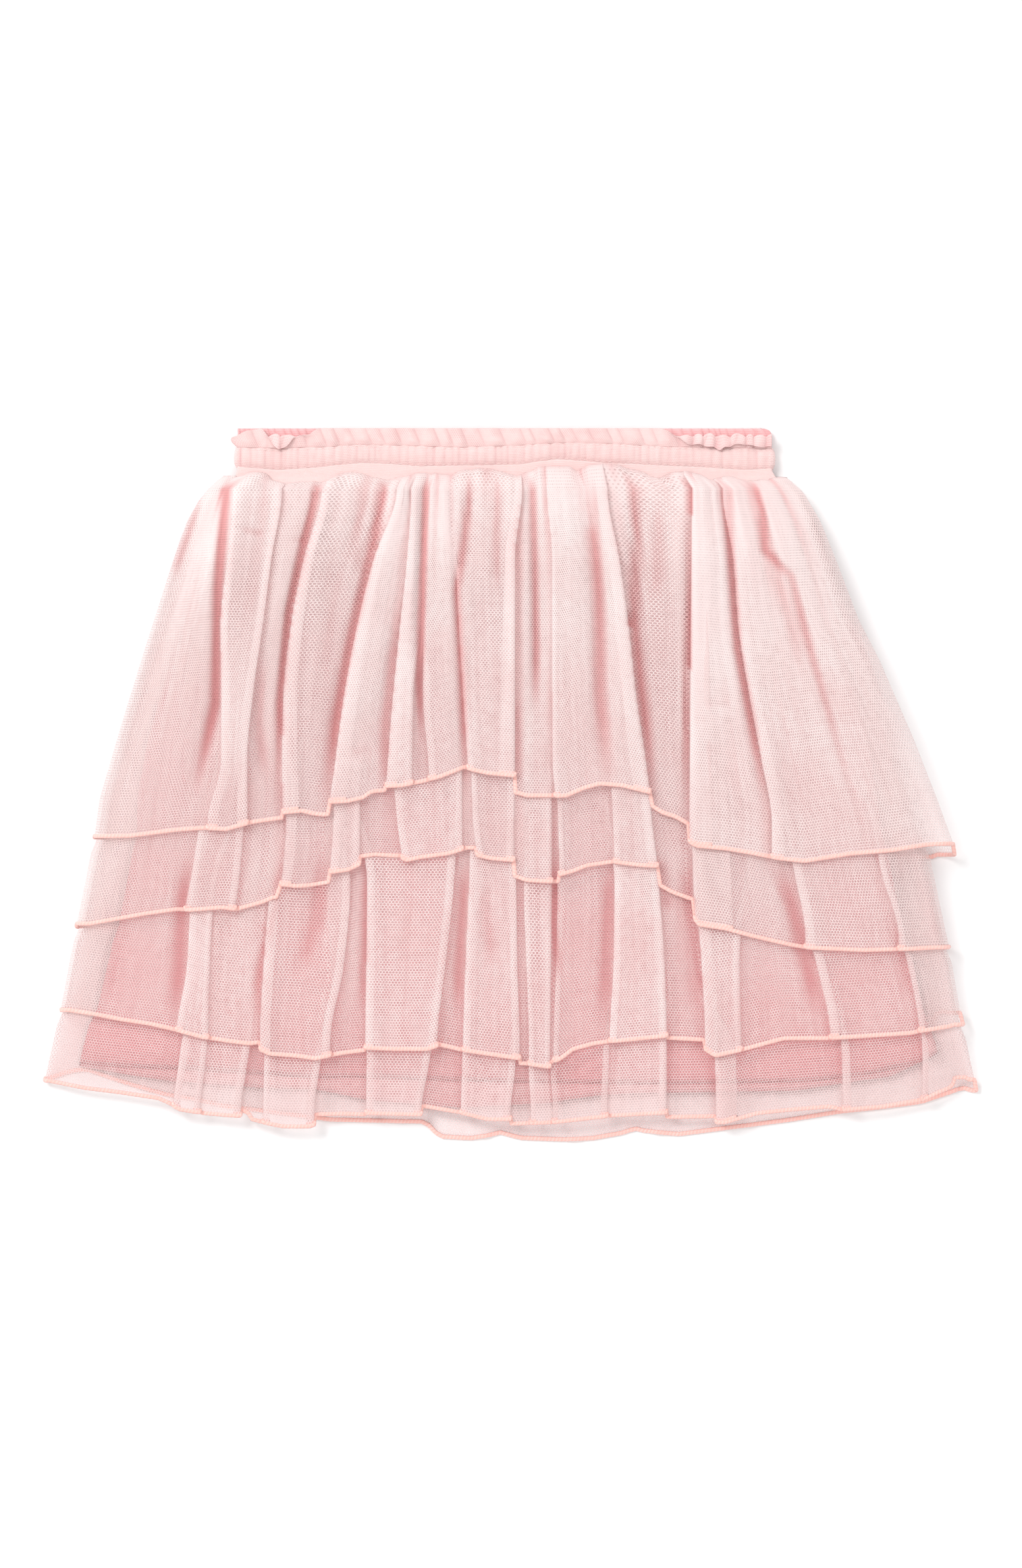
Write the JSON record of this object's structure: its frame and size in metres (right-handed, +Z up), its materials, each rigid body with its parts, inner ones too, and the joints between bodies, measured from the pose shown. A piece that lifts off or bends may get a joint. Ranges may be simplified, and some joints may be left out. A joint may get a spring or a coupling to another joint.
{
  "type": "tulle skirt",
  "caption": "Child's pull-on skirt laid flat: stepped tiers of gathered tulle over a jersey lining, with a shirred elastic waist and a heading frill.",
  "frame": {"origin": "middle of the skirt's box on the surface that it lies on", "axes": "+X across the skirt towards the picture's right, +Y from the hem to the waist, +Z up out of the front"},
  "size_m": [0.4402, 0.3349, 0.023],
  "materials": {
    "tulle": "soft hexagonal net, see-through, pale pink",
    "lining": "fine single jersey, matt, dusty pink",
    "yoke": "fine jersey under net, matt, pale pink",
    "casing": "shirred jersey over elastic, matt, pale pink",
    "frill": "pleated jersey edge, matt, pale pink",
    "facing": "ruched rib jersey, matt, pink"
  },
  "bodies": {
    "root": {"tulle_tier_1_front": "tulle", "tulle_tier_1_back": "tulle", "tulle_tier_2_front": "tulle", "tulle_tier_2_back": "tulle", "tulle_tier_3_front": "tulle", "tulle_tier_3_back": "tulle", "tulle_tier_4_front": "tulle", "tulle_tier_4_back": "tulle", "lining_front": "lining", "lining_back": "lining", "yoke_front": "yoke", "yoke_back": "yoke", "casing_front": "casing", "casing_back": "casing", "frill_front": "frill", "frill_back": "frill", "waist_facing_back": "facing"}
  },
  "joints": []
}
